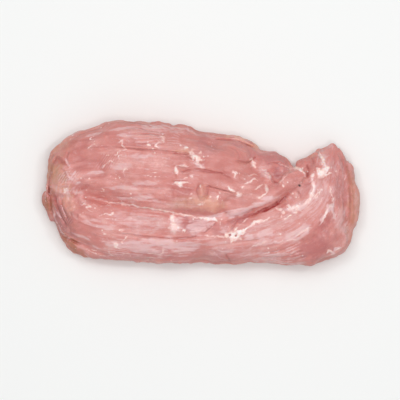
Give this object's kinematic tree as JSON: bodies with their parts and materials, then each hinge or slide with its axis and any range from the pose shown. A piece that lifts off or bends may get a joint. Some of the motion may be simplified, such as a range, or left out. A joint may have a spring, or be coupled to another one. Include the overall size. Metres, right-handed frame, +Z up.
{
  "type": "raw pork tenderloin",
  "caption": "Raw pork tenderloin folded in half, a long rounded cut of lean pink meat with creases, fat and silverskin, lying on its flat underside.",
  "frame": {"origin": "middle of the footprint, on the flat underside", "axes": "+Z up, +X along the meat towards its two loose ends, +Y across it towards the thick head half"},
  "size_m": [0.2026, 0.0928, 0.0386],
  "materials": {
    "meat": "moist raw pork, pale pink to salmon, with white fat and thin silverskin"
  },
  "bodies": {
    "root": {"tenderloin": "meat"}
  },
  "joints": []
}
